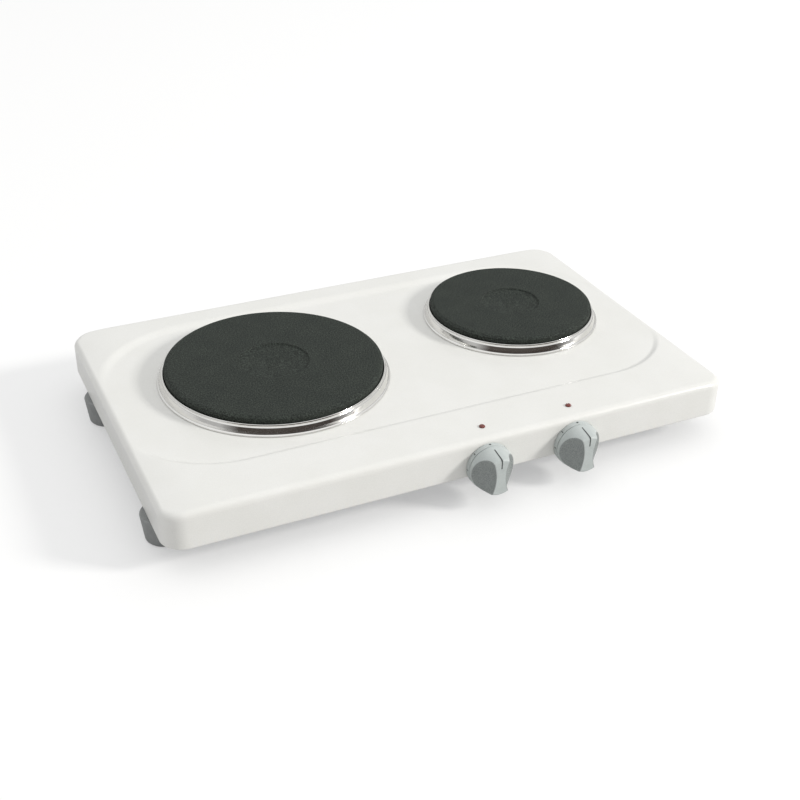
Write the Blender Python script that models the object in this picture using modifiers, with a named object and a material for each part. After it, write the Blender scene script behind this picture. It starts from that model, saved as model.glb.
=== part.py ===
"""Free-standing double electric hot plate, modelled as its separate pieces.

Metres, +Z up. The origin is on the table, under the middle of the whole appliance. +X is to the
user's right and -Y is the front, where the two control knobs are.
"""
import math

import bmesh
import bpy
from mathutils import Matrix, Vector

# ---- driving dimensions ---------------------------------------------------------------------
HOUSING_W = 0.4815        # width of the enamelled pan
HOUSING_D = 0.2972        # depth of the pan
HOUSING_H = 0.031         # bottom rim to the raised border
CORNER_R = 0.018          # plan radius of the pan's corners
TOP_FILLET = 0.0055       # radius of the pan's upper edge
RIM_FILLET = 0.0012       # radius of the pan's lower edge
SHEET = 0.001             # thickness of the pan and the base plate
HEM = 0.007               # width of the flange turned in along the lower edge
RECESS = 0.002            # depth of the pressed recess round the plates
RECESS_Y = 0.011          # middle of the recess, behind the pan's middle
RECESS_HALF = 0.1104      # half of the recess from front to back
RECESS_SIDE = 0.240       # half of its width: it runs out over the pan's short sides
RECESS_SHOULDER = 0.234   # where its corner arcs stop and it goes straight out
RECESS_ARC = {"front": 0.078, "rear": 0.094}         # radii of its corner arcs
FOOT_H = 0.0235           # table to the pan's lower edge
GAP = 0.0003              # clearance between touching pieces

# One entry for each cooking zone: middle across and from front to back, radius, centre recess, and
# the side where its terminal block sits.
ZONES = {
    "left": {"x": -0.101, "y": 0.0115, "radius": 0.090, "well": 0.0295, "block_x": 0.052, "turns": 3.0},
    "right": {"x": 0.1325, "y": 0.030, "radius": 0.0725, "well": 0.026, "block_x": -0.038, "turns": 2.5},
}
ZONE_TOP = 0.0431         # pan's lower edge to the cooking surface

ZONE_CLEARANCE = 0.001    # pan's hole round a plate

KNOB_X = {"left": 0.014, "right": 0.092}
KNOB_Z = 0.0088           # knob axis above the pan's lower edge
KNOB_REACH = 0.0222       # front wall to the knob's front face
KNOB_R = 0.0186           # knob and dial ring radius at the back
KNOB_FRONT_R = 0.0160     # knob radius near its front face
DIAL_H = 0.0044           # thickness of the dial ring
DIAL_BORE_R = 0.0152      # its bore, which clears the switch screws
SCOOP_W = 0.0180          # half sizes of a finger scoop: across, up and down, and inwards
SCOOP_H = 0.0270
SCOOP_DEPTH = 0.0140
GRIP_W = 0.0090           # grip bar between the scoops, at its narrowest
LAMP_X = {"left": 0.0175, "right": 0.0955}
LAMP_Y = -0.131
SWITCH_SCREWS = {"left": -0.011, "right": 0.011}     # screws each side of a shaft
SHAFT_HOLE_R = 0.0045
SCREW_HOLE_R = 0.0018
LAMP_HOLE_R = 0.0023
BASE_HOLE_R = 0.0023      # holes in the base plate for the foot and earth screws

FOOT_X = 0.228
FOOT_Y = {"front": -0.0956, "rear": 0.0846}
FOOT_TOP_R = 0.0175
FOOT_END_R = 0.0148

CORD_X = 0.025            # cord entry and mains terminals, between the two zones
CORD_Z = 0.013
CORD_BORE_R = 0.0038
CORD_HOLE_R = 0.0063      # hole in the rear wall for the bushing's neck
EARTH_X = 0.062           # earth screw on the base plate
EARTH_Y = 0.108
BUSHING_REACH = 0.008     # rear wall to the end of the cord bushing

RIM_Z = FOOT_H
FRONT_REACH = HOUSING_D / 2 + KNOB_REACH
REAR_REACH = HOUSING_D / 2 + BUSHING_REACH
PAN_Y = (FRONT_REACH - REAR_REACH) / 2     # puts the whole appliance's middle at Y = 0
FRONT_Y = PAN_Y - HOUSING_D / 2
REAR_Y = PAN_Y + HOUSING_D / 2

ROUND = 32                # facets of a plate, ring or knob
MEDIUM_ROUND = 20         # facets of a foot, cover or bushing
SMALL_ROUND = 12          # facets of a screw, stud or lamp


def clear_scene():
    for item in list(bpy.data.objects):
        bpy.data.objects.remove(item, do_unlink=True)


def collection(name):
    group = bpy.data.collections.new(name)
    bpy.context.scene.collection.children.link(group)
    return group


clear_scene()
PARTS = collection("hot_plate")
CUTTERS = collection("cutters")


# ---- materials ------------------------------------------------------------------------------
def material(name, color, roughness, metallic=0.0):
    made = bpy.data.materials.new(name)
    made.use_nodes = True
    shader = made.node_tree.nodes["Principled BSDF"]
    shader.inputs["Base Color"].default_value = (*color, 1.0)
    shader.inputs["Roughness"].default_value = roughness
    shader.inputs["Metallic"].default_value = metallic
    return made


ENAMEL = material("white_enamel", (0.86, 0.86, 0.83), 0.22)
ZINC = material("zinc_sheet", (0.55, 0.57, 0.58), 0.42, 0.9)
IRON = material("cast_iron", (0.045, 0.055, 0.050), 0.62, 0.2)
STAINLESS = material("polished_stainless", (0.72, 0.72, 0.70), 0.12, 1.0)
STEEL = material("plated_steel", (0.60, 0.60, 0.62), 0.30, 1.0)
KNOB_GREY = material("grey_plastic", (0.52, 0.57, 0.56), 0.45)
FOOT_GREY = material("grey_rubber", (0.30, 0.31, 0.31), 0.70)
BAKELITE = material("dark_moulding", (0.05, 0.05, 0.05), 0.50)
CERAMIC = material("ceramic", (0.82, 0.79, 0.72), 0.55)
RED_LENS = material("red_lens", (0.45, 0.04, 0.02), 0.20)
HEATER = material("heater_sheath", (0.22, 0.20, 0.18), 0.50, 0.8)
LIVE = material("brown_insulation", (0.20, 0.09, 0.04), 0.55)
LOAD = material("white_insulation", (0.70, 0.68, 0.62), 0.55)
EARTH = material("green_insulation", (0.12, 0.35, 0.08), 0.55)
BLACK_RUBBER = material("black_rubber", (0.03, 0.03, 0.03), 0.65)


# ---- helpers --------------------------------------------------------------------------------
def add(name, mesh, finish=None, location=(0, 0, 0), rotation=(0, 0, 0)):
    """Link a mesh as a part, or as a cutter when it has no finish."""
    item = bpy.data.objects.new(name, mesh)
    item.location = location
    item.rotation_euler = rotation
    if finish is None:
        CUTTERS.objects.link(item)
        item.hide_render = True
        item.display_type = "WIRE"
    else:
        PARTS.objects.link(item)
        mesh.materials.append(finish)
    return item


def mesh_from(build, name):
    """Make a mesh by running build on an empty bmesh."""
    shape = bmesh.new()
    build(shape)
    mesh = bpy.data.meshes.new(name)
    shape.to_mesh(mesh)
    shape.free()
    return mesh


def smooth(item, angle=35):
    item.data.shade_smooth()
    item.data.set_sharp_from_angle(angle=math.radians(angle))


def cut(item, *cutters):
    for tool in cutters:
        step = item.modifiers.new("cut " + tool.name, "BOOLEAN")
        step.operation = "DIFFERENCE"
        step.object = tool


def box(name, low, high, finish=None, edge=0.0):
    """A box between two corners, with its edges rounded by edge."""
    low = Vector(low)
    high = Vector(high)

    def build(shape):
        place = Matrix.Translation((low + high) / 2) @ Matrix.Diagonal((*(high - low), 1))
        bmesh.ops.create_cube(shape, size=1.0, matrix=place)

    item = add(name, mesh_from(build, name), finish)
    if edge:
        rounding = item.modifiers.new("rounded edges", "BEVEL")
        rounding.width = edge
        rounding.segments = 1
    return item


def rod(name, radius, start, end, finish=None, facets=SMALL_ROUND):
    """A cylinder, or with six facets a hexagon, between two points."""
    start = Vector(start)
    end = Vector(end)
    along = end - start
    turn = along.to_track_quat("Z", "Y").to_matrix().to_4x4()

    def build(shape):
        bmesh.ops.create_cone(shape, cap_ends=True, segments=facets, radius1=radius, radius2=radius,
                              depth=along.length, matrix=Matrix.Translation((start + end) / 2) @ turn)

    return add(name, mesh_from(build, name), finish)


def turned(name, profile, finish, location, rotation=(0, 0, 0), steps=SMALL_ROUND, closed=False):
    """Turn a profile of (radius, height) points, listed down its outer side, about local Z."""
    mesh = bpy.data.meshes.new(name)
    count = len(profile)
    edges = [(i, i + 1) for i in range(count - 1)]
    if closed:
        edges.append((count - 1, 0))
    mesh.from_pydata([(radius, 0, height) for radius, height in profile], edges, [])
    item = add(name, mesh, finish, location, rotation)
    screw = item.modifiers.new("turn", "SCREW")
    screw.axis = "Z"
    screw.steps = steps
    screw.render_steps = steps
    screw.use_merge_vertices = True
    screw.merge_threshold = 0.00001
    screw.use_smooth_shade = False
    return item


def rounded_block(name, low, high, corner, top_edge, bottom_edge, finish=None):
    """A block with round corners in plan, and with its upper and lower edges rounded."""
    low = Vector(low)
    high = Vector(high)

    def edges_at(shape, height):
        return [edge for edge in shape.edges
                if all(abs(vert.co.z - height) < 1e-6 for vert in edge.verts)]

    def build(shape):
        place = Matrix.Translation((low + high) / 2) @ Matrix.Diagonal((*(high - low), 1))
        bmesh.ops.create_cube(shape, size=1.0, matrix=place)
        upright = [edge for edge in shape.edges
                   if abs(edge.verts[0].co.z - edge.verts[1].co.z) > 1e-6]
        bmesh.ops.bevel(shape, geom=upright, offset=corner, segments=5, profile=0.5, affect="EDGES")
        if top_edge:
            bmesh.ops.bevel(shape, geom=edges_at(shape, high.z), offset=top_edge, segments=3,
                            profile=0.5, affect="EDGES")
        if bottom_edge:
            bmesh.ops.bevel(shape, geom=edges_at(shape, low.z), offset=bottom_edge, segments=2,
                            profile=0.5, affect="EDGES")

    return add(name, mesh_from(build, name), finish)


def smooth_route(points, spacing):
    """Points along a smooth curve through the given ones, about one spacing apart."""
    points = [Vector(point) for point in points]
    ends = [2 * points[0] - points[1]] + points + [2 * points[-1] - points[-2]]
    route = []
    for before, start, end, after in zip(ends, ends[1:], ends[2:], ends[3:]):
        count = max(2, round((end - start).length / spacing))
        for step in range(count):
            t = step / count
            route.append(0.5 * (2 * start + (end - before) * t
                                + (2 * before - 5 * start + 4 * end - after) * t ** 2
                                + (3 * start - before - 3 * end + after) * t ** 3))
    route.append(points[-1])
    return route


def tube(name, points, radius, finish):
    """A round bar or wire along the points."""
    curve = bpy.data.curves.new(name, "CURVE")
    curve.dimensions = "3D"
    curve.bevel_depth = radius
    curve.bevel_resolution = 2
    curve.use_fill_caps = True
    spline = curve.splines.new("POLY")
    spline.points.add(len(points) - 1)
    for spot, point in zip(spline.points, points):
        spot.co = (*point, 1.0)
    return add(name, curve, finish)


# ---- housing --------------------------------------------------------------------------------
def recess_outline(grow):
    """The recess in plan, widened by grow: an arc at each corner that runs out over the short side."""
    reach = HOUSING_W / 2 + 0.01
    quarters = {}
    for end, arc in RECESS_ARC.items():
        start = RECESS_SIDE - arc
        radius = arc + grow
        last = math.asin((RECESS_SHOULDER - start) / radius)
        quarter = [(start + radius * math.sin(last * i / 6),
                    RECESS_HALF - arc + radius * math.cos(last * i / 6)) for i in range(7)]
        quarters[end] = quarter + [(reach, quarter[-1][1])]
    right = quarters["rear"] + [(x, -y) for x, y in reversed(quarters["front"])]
    whole = right + [(-x, y) for x, y in reversed(right)]
    return [(x, PAN_Y + RECESS_Y + y) for x, y in whole]


def recess_cutter(name, grow, floor):
    """What presses the recess into a block: the outline, with a sloping lower edge."""
    def build(shape):
        verts = [shape.verts.new((x, y, floor)) for x, y in recess_outline(grow)]
        bottom = shape.faces.new(verts)
        lifted = bmesh.ops.extrude_face_region(shape, geom=[bottom])["geom"]
        moved = [part for part in lifted if isinstance(part, bmesh.types.BMVert)]
        bmesh.ops.translate(shape, verts=moved, vec=(0, 0, 0.010))
        bmesh.ops.recalc_face_normals(shape, faces=shape.faces)
        low = [edge for edge in shape.edges if all(abs(v.co.z - floor) < 1e-6 for v in edge.verts)]
        bmesh.ops.bevel(shape, geom=low, offset=0.0018, segments=2, profile=0.5, affect="EDGES")

    return add(name, mesh_from(build, name))


def pan_block(name, inset, low_z, finish=None):
    """The pan's outer shape, or with an inset the space inside its sheet."""
    half_w = HOUSING_W / 2 - inset
    half_d = HOUSING_D / 2 - inset
    return rounded_block(name, (-half_w, PAN_Y - half_d, low_z),
                         (half_w, PAN_Y + half_d, RIM_Z + HOUSING_H - inset),
                         CORNER_R - inset, TOP_FILLET - inset, 0.0 if inset else RIM_FILLET, finish)


def top_housing():
    floor = RIM_Z + HOUSING_H - RECESS
    pan = pan_block("top_housing", 0.0, RIM_Z, ENAMEL)
    cut(pan, recess_cutter("recess_above", 0.0, floor))
    inside = pan_block("pan_inside", SHEET, RIM_Z + SHEET)
    cut(inside, recess_cutter("recess_below", SHEET, floor - SHEET))
    opening_w = HOUSING_W / 2 - SHEET - HEM
    opening_d = HOUSING_D / 2 - SHEET - HEM
    opening = rounded_block("pan_opening", (-opening_w, PAN_Y - opening_d, RIM_Z - 0.002),
                            (opening_w, PAN_Y + opening_d, RIM_Z + 0.004), CORNER_R - HEM, 0.0, 0.0)
    cut(pan, inside, opening)
    for side, zone in ZONES.items():
        centre = Vector((zone["x"], PAN_Y + zone["y"], RIM_Z + 0.020))
        hole = rod(side + "_zone_hole", zone["radius"] + ZONE_CLEARANCE, centre,
                   centre + Vector((0, 0, 0.020)), facets=ROUND)
        cut(pan, hole)
    for side in KNOB_X:
        cut(pan, *control_holes(side))
    neck = rod("cord_hole", CORD_HOLE_R, (CORD_X, REAR_Y - 0.005, RIM_Z + CORD_Z),
               (CORD_X, REAR_Y + 0.005, RIM_Z + CORD_Z), facets=MEDIUM_ROUND)
    cut(pan, neck)
    smooth(pan)


def control_holes(side):
    """Holes for one control: shaft, two switch screws and the lamp."""
    axis_x = KNOB_X[side]
    axis_z = RIM_Z + KNOB_Z
    front = FRONT_Y - 0.004
    back = FRONT_Y + 0.004
    holes = [rod(side + "_shaft_hole", SHAFT_HOLE_R, (axis_x, front, axis_z), (axis_x, back, axis_z))]
    for hand, offset in SWITCH_SCREWS.items():
        holes.append(rod(side + "_screw_hole_" + hand, SCREW_HOLE_R, (axis_x + offset, front, axis_z),
                         (axis_x + offset, back, axis_z)))
    lamp = Vector((LAMP_X[side], PAN_Y + LAMP_Y, RIM_Z + HOUSING_H))
    reach = Vector((0, 0, 0.004))
    holes.append(rod(side + "_lamp_hole", LAMP_HOLE_R, lamp - reach, lamp + reach))
    return holes


def base_plate():
    half_w = HOUSING_W / 2 - SHEET - 0.0006
    half_d = HOUSING_D / 2 - SHEET - 0.0006
    low_z = RIM_Z + SHEET + GAP
    plate = rounded_block("base_plate", (-half_w, PAN_Y - half_d, low_z),
                          (half_w, PAN_Y + half_d, low_z + SHEET), CORNER_R - 0.002, 0.0, 0.0, ZINC)
    slot_w = 0.0034
    slot_l = 0.036
    pitch = 0.011

    def build(shape):
        for zone in ZONES.values():
            for number in range(5):
                for row in (-1, 1):
                    middle = (zone["x"] + pitch * (number - 2), PAN_Y + zone["y"] + row * 0.034, low_z)
                    place = Matrix.Translation(middle) @ Matrix.Diagonal((slot_w, slot_l, 0.006, 1))
                    bmesh.ops.create_cube(shape, size=1.0, matrix=place)

    cut(plate, add("vent_slots", mesh_from(build, "vent_slots")))
    spots = {end + "_" + hand: (x, y) for end, y in FOOT_Y.items()
             for hand, x in (("left", -FOOT_X), ("right", FOOT_X))}
    spots["earth"] = (EARTH_X, EARTH_Y)
    reach = Vector((0, 0, 0.003))
    for name, (x, y) in spots.items():
        spot = Vector((x, PAN_Y + y, low_z))
        cut(plate, rod(name + "_base_hole", BASE_HOLE_R, spot - reach, spot + reach))


# ---- feet -----------------------------------------------------------------------------------
def feet():
    """Conical feet with a counterbored screw in each."""
    bore = 0.0023
    counterbore = 0.0048
    floor = 0.0105
    foot_profile = [(bore, FOOT_H - GAP), (FOOT_TOP_R - 0.0008, FOOT_H - GAP),
                    (FOOT_TOP_R, FOOT_H - 0.0012), (FOOT_END_R + 0.0004, 0.0018), (FOOT_END_R - 0.001, 0.0),
                    (counterbore, 0.0), (counterbore, floor), (bore, floor)]
    screw_profile = [(0.0, FOOT_H + 0.008), (0.0012, FOOT_H + 0.0075), (0.0019, FOOT_H + 0.006),
                     (0.0019, floor - GAP), (0.0040, floor - GAP), (0.0040, floor - 0.0020),
                     (0.0028, floor - 0.0030), (0.0, floor - 0.0030)]
    for end, y in FOOT_Y.items():
        for hand, x in (("left", -FOOT_X), ("right", FOOT_X)):
            name = end + "_" + hand
            place = (x, PAN_Y + y, 0.0)
            foot = turned(name + "_foot", foot_profile, FOOT_GREY, place, steps=MEDIUM_ROUND, closed=True)
            smooth(foot)
            smooth(turned(name + "_foot_screw", screw_profile, STEEL, place))


# ---- cooking zones --------------------------------------------------------------------------
def hotplate(side, zone, place):
    """Cast-iron plate: dished centre, chamfered edge, skirt, and a boss for the fixing stud."""
    radius = zone["radius"]
    well = zone["well"]
    profile = [(0.0, -0.0010), (well - 0.0012, -0.0010), (well, 0.0), (radius - 0.0036, 0.0),
               (radius, -0.0020), (radius, -0.0075), (radius - 0.0018, -0.0085),
               (radius - 0.0018, -0.0180), (radius - 0.0055, -0.0180), (radius - 0.0055, -0.0070),
               (0.0130, -0.0070), (0.0110, -0.0180), (0.0042, -0.0180), (0.0042, -0.0090), (0.0, -0.0090)]
    smooth(turned(side + "_hotplate", profile, IRON, place, steps=ROUND))


def spill_ring(side, zone, place):
    """Polished overflow rim that rests on the pan and closes the gap round the plate."""
    radius = zone["radius"]
    seat = HOUSING_H - RECESS - ZONE_TOP + GAP
    profile = [(radius + 0.0004, -0.0062), (radius + 0.0009, -0.0052), (radius + 0.0019, -0.0050),
               (radius + 0.0026, -0.0063), (radius + 0.0024, -0.0076), (radius + 0.0036, -0.0090),
               (radius + 0.0045, -0.0114), (radius + 0.0050, seat + 0.0014), (radius + 0.0060, seat + 0.0010),
               (radius + 0.0062, seat), (radius + 0.0048, seat), (radius + 0.0035, -0.0115),
               (radius + 0.0025, -0.0096), (radius + 0.0013, -0.0082), (radius + 0.0014, -0.0066)]
    smooth(turned(side + "_spill_ring", profile, STAINLESS, place, steps=ROUND, closed=True))


def heating_coil(side, zone, place):
    """Sheathed heater wound in a flat spiral under the plate's top."""
    inner = 0.022
    outer = zone["radius"] - 0.013
    per_turn = 14
    count = round(per_turn * zone["turns"])
    points = []
    for number in range(count + 1):
        angle = 2 * math.pi * number / per_turn
        reach = inner + (outer - inner) * number / count
        points.append((place[0] + reach * math.cos(angle), place[1] + reach * math.sin(angle),
                       place[2] - 0.0115))
    tube(side + "_heating_coil", points, 0.0024, HEATER)


def underside_cover(side, zone, place):
    """Sheet dish that closes the plate's hollow from below."""
    radius = zone["radius"]
    profile = [(0.0050, -0.0239), (radius - 0.0095, -0.0239), (radius - 0.0065, -0.0184),
               (radius - 0.0020, -0.0184), (radius - 0.0020, -0.0192), (radius - 0.0060, -0.0192),
               (radius - 0.0090, -0.0247), (0.0050, -0.0247)]
    turned(side + "_underside_cover", profile, ZINC, place, steps=MEDIUM_ROUND, closed=True)


def mounting_bar(side, zone, place):
    """Cranked strip that clamps the plate down from under the pan."""
    half_width = 0.009
    mid_z = -0.0270
    end_z = HOUSING_H - RECESS - SHEET - ZONE_TOP - GAP
    knee = zone["radius"] - 0.004
    rise = zone["radius"] + 0.003
    end = zone["radius"] + 0.009
    path = [(-end, end_z), (-rise, end_z), (-knee, mid_z), (knee, mid_z), (rise, end_z), (end, end_z)]
    verts = [(x, y, z) for y, z in path for x in (-half_width, half_width)]
    faces = [(2 * i, 2 * i + 1, 2 * i + 3, 2 * i + 2) for i in range(len(path) - 1)]
    mesh = bpy.data.meshes.new(side + "_mounting_bar")
    mesh.from_pydata(verts, [], faces)
    bar = add(side + "_mounting_bar", mesh, STEEL, place)
    thick = bar.modifiers.new("sheet", "SOLIDIFY")
    thick.thickness = 0.002
    thick.offset = -1.0
    thick.use_even_offset = True
    centre = Vector(place)
    cut(bar, rod(side + "_bar_hole", 0.0043, centre + Vector((0, 0, -0.032)),
                 centre + Vector((0, 0, -0.024))))


def stud_and_nut(side, place):
    centre = Vector(place)
    rod(side + "_plate_stud", 0.0038, centre + Vector((0, 0, -0.0368)), centre + Vector((0, 0, -0.0094)),
        STEEL)
    top = centre + Vector((0, 0, -0.0290 - GAP))
    bottom = top - Vector((0, 0, 0.0062))
    nut = rod(side + "_stud_nut", 0.0075, bottom, top, STEEL, facets=6)
    reach = Vector((0, 0, 0.002))
    cut(nut, rod(side + "_nut_bore", 0.0042, bottom - reach, top + reach))


def bored_block(name, low, high, bores, finish):
    """A terminal block with a row of wire bores running from front to back."""
    block = box(name, low, high, finish, edge=0.0008)
    middle_x = (low[0] + high[0]) / 2
    middle_z = (low[2] + high[2]) / 2
    pitch = 0.007
    for number in range(bores):
        x = middle_x + pitch * (number - (bores - 1) / 2)
        cut(block, rod(name + "_bore_" + str(number), 0.0019, (x, low[1] - 0.002, middle_z),
                       (x, high[1] + 0.002, middle_z)))


def zones():
    for side, zone in ZONES.items():
        place = (zone["x"], PAN_Y + zone["y"], RIM_Z + ZONE_TOP)
        hotplate(side, zone, place)
        spill_ring(side, zone, place)
        heating_coil(side, zone, place)
        underside_cover(side, zone, place)
        mounting_bar(side, zone, place)
        stud_and_nut(side, place)
        block_x = place[0] + zone["block_x"]
        bored_block(side + "_terminal_block", (block_x - 0.015, place[1] - 0.008, place[2] - 0.0380),
                    (block_x + 0.015, place[1] + 0.008, place[2] - 0.0251), 3, CERAMIC)


# ---- controls -------------------------------------------------------------------------------
FACING_FRONT = (math.pi / 2, 0, 0)         # local +Z points at the user


def knob(side, place):
    """Turned blank with a blind shaft bore and two finger scoops that leave an upright grip bar."""
    back = DIAL_H + 0.0004
    profile = [(0.0, KNOB_REACH), (KNOB_FRONT_R - 0.0021, KNOB_REACH),
               (KNOB_FRONT_R - 0.0006, KNOB_REACH - 0.0007), (KNOB_FRONT_R, KNOB_REACH - 0.0022),
               (KNOB_R, back + 0.0020), (KNOB_R, back), (0.0034, back), (0.0034, 0.0170), (0.0, 0.0170)]
    handle = turned(side + "_knob", profile, KNOB_GREY, place, FACING_FRONT, steps=ROUND)
    for hand, sign in (("left", -1), ("right", 1)):
        def build(shape):
            centre = Matrix.Translation((sign * (SCOOP_W + GRIP_W / 2), 0, KNOB_REACH))
            form = Matrix.Diagonal((SCOOP_W, SCOOP_H, SCOOP_DEPTH, 1))
            bmesh.ops.create_uvsphere(shape, u_segments=24, v_segments=12, radius=1.0, matrix=centre @ form)

        scoop = add(side + "_knob_scoop_" + hand, mesh_from(build, "scoop"), None, place, FACING_FRONT)
        cut(handle, scoop)
    smooth(handle)


def switch_shaft(side, place):
    """Shaft from the switch to the knob, with a flat that the knob's bore would key on."""
    shaft = turned(side + "_switch_shaft", [(0.0, 0.0167), (0.0027, 0.0167), (0.0030, 0.0163),
                                            (0.0030, -0.0215), (0.0, -0.0215)],
                   STEEL, place, FACING_FRONT)
    axis_x, axis_y, axis_z = place
    flat = box(side + "_shaft_flat", (axis_x - 0.004, axis_y - 0.018, axis_z + 0.0018),
               (axis_x + 0.004, axis_y - 0.006, axis_z + 0.005))
    cut(shaft, flat)


def switch_body(side, place):
    """Cam switch behind the front wall, with bores for its shaft and screws."""
    axis_x, axis_y, axis_z = place
    front = axis_y + SHEET + 0.0004
    body = box(side + "_switch_body", (axis_x - 0.017, front, RIM_Z + 0.0029),
               (axis_x + 0.017, front + 0.030, RIM_Z + 0.0190), BAKELITE, edge=0.001)
    cut(body, rod(side + "_switch_bore", 0.0034, (axis_x, front - 0.002, axis_z),
                  (axis_x, front + 0.0230, axis_z)))
    for hand, offset in SWITCH_SCREWS.items():
        cut(body, rod(side + "_switch_tap_" + hand, SCREW_HOLE_R, (axis_x + offset, front - 0.002, axis_z),
                      (axis_x + offset, front + 0.0080, axis_z)))


def switch_screws(side, place):
    profile = [(0.0, 0.0021), (0.0020, 0.0021), (0.0028, 0.0013), (0.0028, GAP), (0.0014, GAP),
               (0.0014, -0.0080), (0.0, -0.0080)]
    for hand, offset in SWITCH_SCREWS.items():
        turned(side + "_switch_screw_" + hand, profile, STEEL, (place[0] + offset, place[1], place[2]),
               FACING_FRONT)


def lamp(side):
    place = (LAMP_X[side], PAN_Y + LAMP_Y, RIM_Z + HOUSING_H)
    lens = [(0.0, 0.0017), (0.0012, 0.00145), (0.0021, 0.0009), (0.0026, GAP), (0.0020, GAP),
            (0.0020, -0.0040), (0.0, -0.0040)]
    body = [(0.0, -0.0044), (0.0023, -0.0044), (0.0023, -0.0014), (0.0036, -0.0014), (0.0036, -0.0113),
            (0.0, -0.0113)]
    smooth(turned(side + "_lamp_lens", lens, RED_LENS, place))
    turned(side + "_lamp_body", body, BAKELITE, place)


def controls():
    for side, axis_x in KNOB_X.items():
        place = (axis_x, FRONT_Y, RIM_Z + KNOB_Z)
        ring = [(DIAL_BORE_R, DIAL_H), (KNOB_R - 0.0006, DIAL_H), (KNOB_R, DIAL_H - 0.0006), (KNOB_R, GAP),
                (DIAL_BORE_R, GAP)]
        smooth(turned(side + "_dial_ring", ring, KNOB_GREY, place, FACING_FRONT, steps=ROUND, closed=True))
        knob(side, place)
        switch_shaft(side, place)
        switch_body(side, place)
        switch_screws(side, place)
        lamp(side)


# ---- mains side and wiring ------------------------------------------------------------------
def cord_bushing():
    """Rubber bushing that lines the cord hole in the rear wall."""
    profile = [(CORD_BORE_R, BUSHING_REACH), (0.0052, BUSHING_REACH), (0.0062, 0.0030), (0.0085, 0.0026),
               (0.0085, GAP), (0.0060, GAP), (0.0060, -SHEET - GAP), (0.0080, -SHEET - GAP),
               (0.0076, -0.0038), (CORD_BORE_R, -0.0038)]
    smooth(turned("cord_bushing", profile, BLACK_RUBBER, (CORD_X, REAR_Y, RIM_Z + CORD_Z),
                  (-math.pi / 2, 0, 0), steps=MEDIUM_ROUND, closed=True))


def mains_side():
    cord_bushing()
    bored_block("mains_terminal_block", (CORD_X - 0.017, PAN_Y + 0.104, RIM_Z + 0.0026),
                (CORD_X + 0.017, PAN_Y + 0.120, RIM_Z + 0.0166), 3, CERAMIC)
    base_top = RIM_Z + 2 * SHEET + GAP
    profile = [(0.0, 0.0040), (0.0035, 0.0040), (0.0035, GAP), (0.0019, GAP), (0.0019, -0.0022),
               (0.0, -0.0022)]
    turned("earth_screw", profile, STEEL, (EARTH_X, PAN_Y + EARTH_Y, base_top))


def wiring():
    """Internal wires. Heights are above the pan's lower edge, Y is from the pan's middle."""
    feed = 0.0012
    lamp_wire = 0.0010
    routes = {
        "left_feed_wire": (LIVE, feed, [(0.018, 0.1036, 0.009), (0.017, 0.080, 0.006), (0.015, 0.020, 0.005),
                                        (0.013, -0.050, 0.005), (0.014, -0.100, 0.009),
                                        (0.014, -0.1168, 0.012)]),
        "right_feed_wire": (LIVE, feed, [(0.032, 0.1036, 0.009), (0.034, 0.070, 0.006), (0.040, 0.0, 0.005),
                                         (0.062, -0.070, 0.005), (0.080, -0.102, 0.008),
                                         (0.084, -0.1168, 0.012)]),
        "left_plate_wire": (LOAD, feed, [(0.006, -0.1168, 0.012), (0.005, -0.100, 0.009),
                                         (-0.006, -0.070, 0.005), (-0.030, -0.025, 0.005),
                                         (-0.046, -0.006, 0.008), (-0.049, 0.0031, 0.011)]),
        "right_plate_wire": (LOAD, feed, [(0.092, -0.1168, 0.012), (0.093, -0.100, 0.009),
                                          (0.095, -0.060, 0.005), (0.095, -0.010, 0.005),
                                          (0.0945, 0.010, 0.008), (0.0945, 0.0216, 0.011)]),
        "earth_wire": (EARTH, feed, [(0.025, 0.1036, 0.006), (0.027, 0.094, 0.0045), (0.042, 0.090, 0.0042),
                                     (0.058, 0.096, 0.0044), (0.062, 0.1040, 0.005)]),
    }
    for side, lamp_x in LAMP_X.items():
        end_x = KNOB_X[side] + 0.008
        routes[side + "_lamp_wire"] = (LOAD, lamp_wire, [
            (lamp_x, -0.1270, 0.0240), (lamp_x + 0.001, -0.1190, 0.0240), (end_x - 0.001, -0.1120, 0.0200),
            (end_x, -0.1125, 0.0150), (end_x, -0.1168, 0.0130)])
    for name, (finish, radius, stops) in routes.items():
        world = [(x, PAN_Y + y, RIM_Z + z) for x, y, z in stops]
        tube(name, smooth_route(world, 0.015), radius, finish)


top_housing()
base_plate()
feet()
zones()
controls()
mains_side()
wiring()
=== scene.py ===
"""Looks of the double electric hot plate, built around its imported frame.

Metres, +Z up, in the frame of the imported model: the origin is on the table under the middle of the
appliance, +X is to the user's right and -Y is the front. Turned pieces are described by outlines of
(radius, height, corner radius) about their own axis.
"""
import math

import bmesh
import bpy
from mathutils import Matrix, Vector
from mathutils.geometry import delaunay_2d_cdt


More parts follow.
